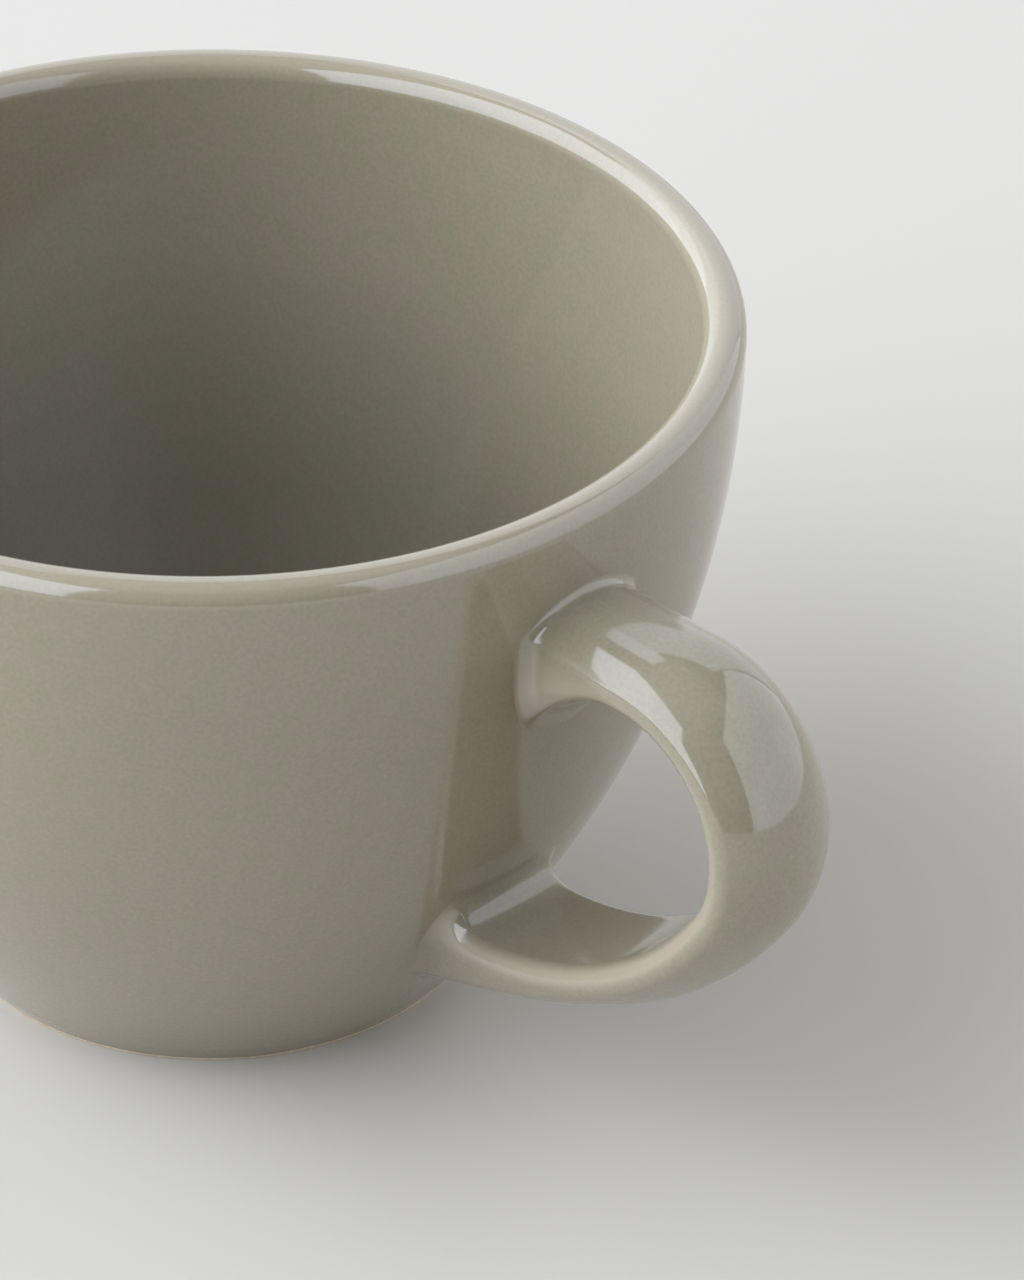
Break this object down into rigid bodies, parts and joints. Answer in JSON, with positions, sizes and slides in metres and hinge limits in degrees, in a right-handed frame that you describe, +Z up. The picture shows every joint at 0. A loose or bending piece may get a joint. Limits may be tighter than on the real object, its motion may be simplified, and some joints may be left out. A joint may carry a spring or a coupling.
{
  "type": "stoneware cup",
  "caption": "Tapered round stoneware cup with a rounded lip, a foot ring and a looped strap handle, glazed warm grey, for tea or coffee.",
  "frame": {"origin": "centre of the circle that the foot ring stands on, at table height", "axes": "+Z up along the axis of the bowl, +X from the axis towards the handle"},
  "size_m": [0.121, 0.0952, 0.0654],
  "materials": {
    "glaze": "glossy warm grey glaze with a fine mottle",
    "bare_clay": "matt unglazed clay"
  },
  "bodies": {
    "root": {"cup_body": "glaze", "foot_ring": "bare_clay", "handle": "glaze", "upper_handle_joint": "glaze", "lower_handle_joint": "glaze"}
  },
  "joints": []
}
